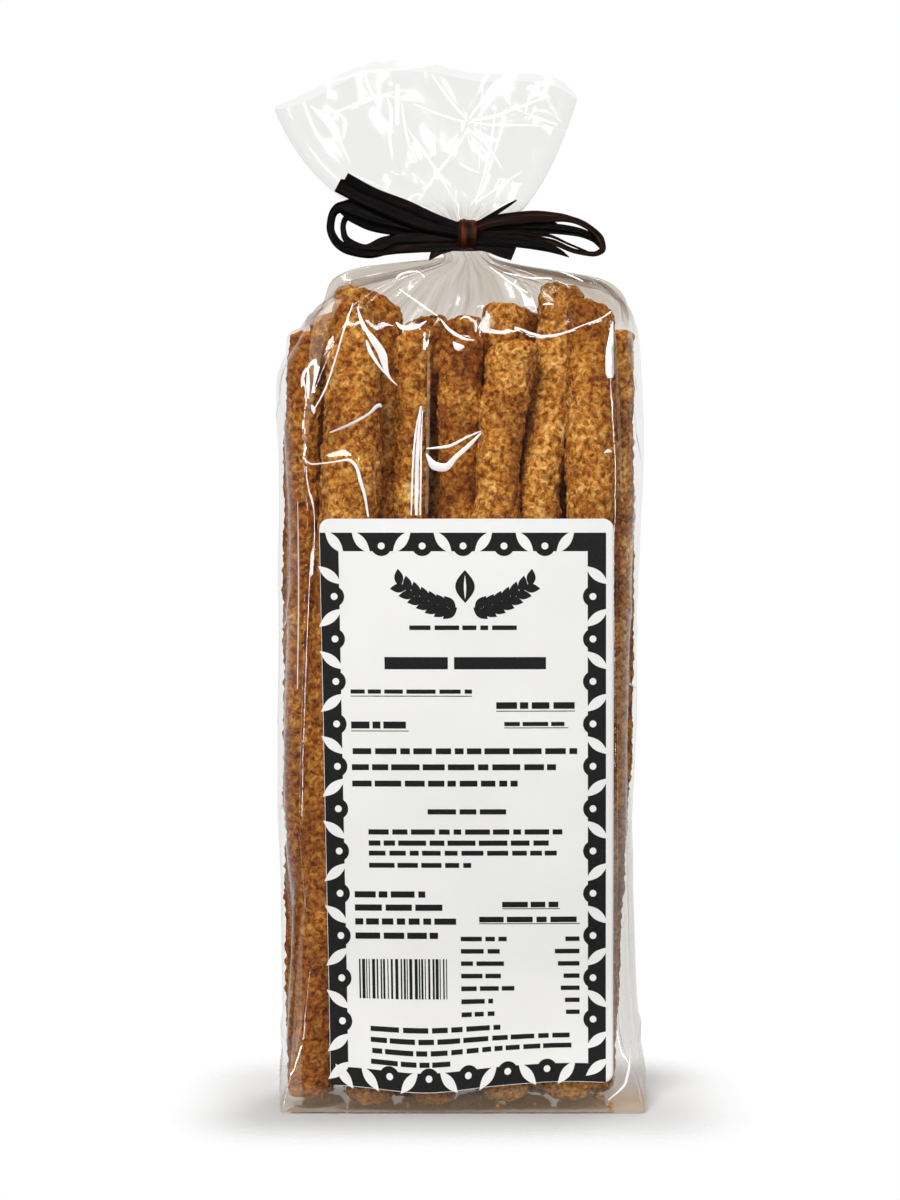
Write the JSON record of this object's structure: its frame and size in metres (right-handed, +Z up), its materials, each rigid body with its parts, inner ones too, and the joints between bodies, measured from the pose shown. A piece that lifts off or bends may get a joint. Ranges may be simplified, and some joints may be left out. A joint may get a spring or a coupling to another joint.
{
  "type": "bag of breadsticks",
  "caption": "Upright clear film bag filled with wholemeal grissini breadsticks, gathered and tied with a dark ribbon bow under a film frill, with a paper label on its front.",
  "frame": {"origin": "middle of the bag's flat bottom", "axes": "+Z up the bag, the label faces -Y, +X to the right of the label as it is read"},
  "size_m": [0.109, 0.0519, 0.3036],
  "materials": {
    "film": "thin clear film, glossy, with sharp creases",
    "label_paper": "satin white paper with a black printed border",
    "print_ink": "satin black ink printed on the label paper",
    "ribbon_paper": "creased paper ribbon, nearly black with a brown sheen",
    "crust": "rough baked wholemeal crust, golden brown with dark bran flecks"
  },
  "bodies": {
    "root": {"bag": "film", "label": "label_paper", "ribbon": "ribbon_paper"}
  },
  "joints": []
}
